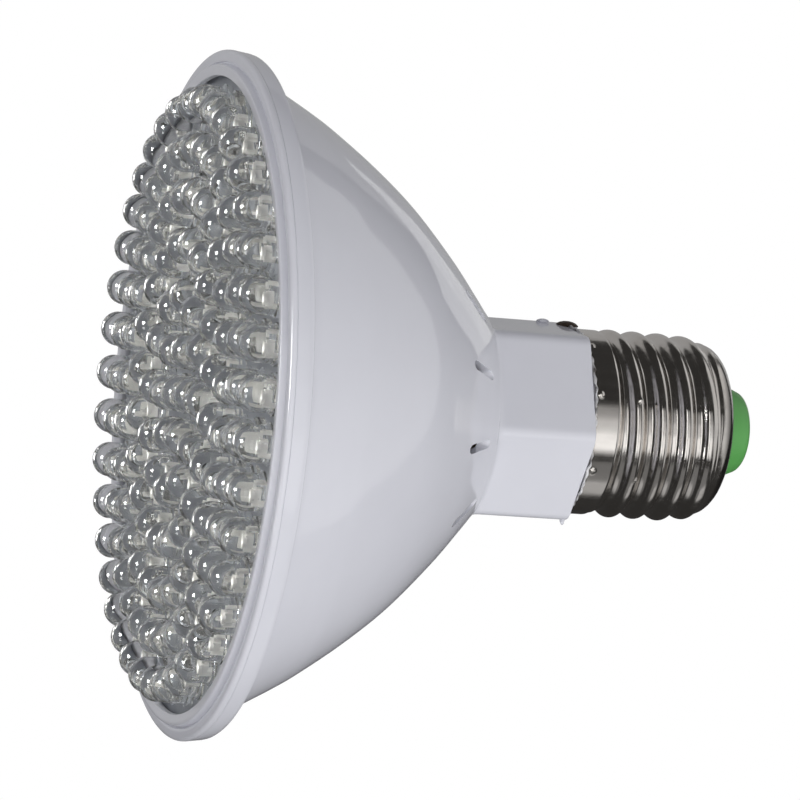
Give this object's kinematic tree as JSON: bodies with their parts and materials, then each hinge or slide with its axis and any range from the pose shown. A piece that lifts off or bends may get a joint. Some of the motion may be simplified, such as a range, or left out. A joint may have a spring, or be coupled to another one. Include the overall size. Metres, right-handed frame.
{
  "type": "led grow light bulb",
  "caption": "Reflector-shaped LED grow lamp with a white shell, a face of clear round diodes in rings, a six-sided neck with vent slots and an E27 screw cap.",
  "frame": {"origin": "centre of the lamp's face, on the plane of the diode tips that it stands on", "axes": "+Z runs along the lamp's axis from the diodes to the cap; X and Y lie in the face"},
  "size_m": [0.094, 0.094, 0.085],
  "materials": {
    "white_plastic": "glossy moulded white with a cool grey cast",
    "board_white": "pale solder mask",
    "clear_lens": "clear epoxy, polished dome",
    "nickel_plate": "bright nickel plate on rolled sheet",
    "adhesive": "set adhesive, uneven edge",
    "green_plastic": "smooth moulded green",
    "contact_metal": "tinned metal",
    "driver_laminate": "brown paper laminate",
    "capacitor_case": "dipped dark red",
    "capacitor_sleeve": "black shrink sleeve",
    "black_moulding": "black moulded package",
    "resistor_coat": "blue lacquer",
    "brown_insulation": "soft wire insulation",
    "blue_insulation": "soft wire insulation",
    "red_insulation": "soft wire insulation",
    "black_insulation": "soft wire insulation"
  },
  "bodies": {
    "root": {"housing": "white_plastic", "bezel_ring": "white_plastic", "led_board": "board_white", "led_centre": "clear_lens", "led_ring_1": "clear_lens", "led_ring_2": "clear_lens", "led_ring_3": "clear_lens", "led_ring_4": "clear_lens", "led_ring_5": "clear_lens", "led_ring_6": "clear_lens", "screw_shell": "nickel_plate", "adhesive_bead": "adhesive", "cap_insulator": "green_plastic", "centre_contact": "contact_metal", "driver_board": "driver_laminate", "film_capacitor": "capacitor_case", "electrolytic_capacitor": "capacitor_sleeve", "bridge_rectifier": "black_moulding", "resistors": "resistor_coat", "live_lead": "brown_insulation", "neutral_lead": "blue_insulation", "positive_lead": "red_insulation", "negative_lead": "black_insulation"}
  },
  "joints": []
}
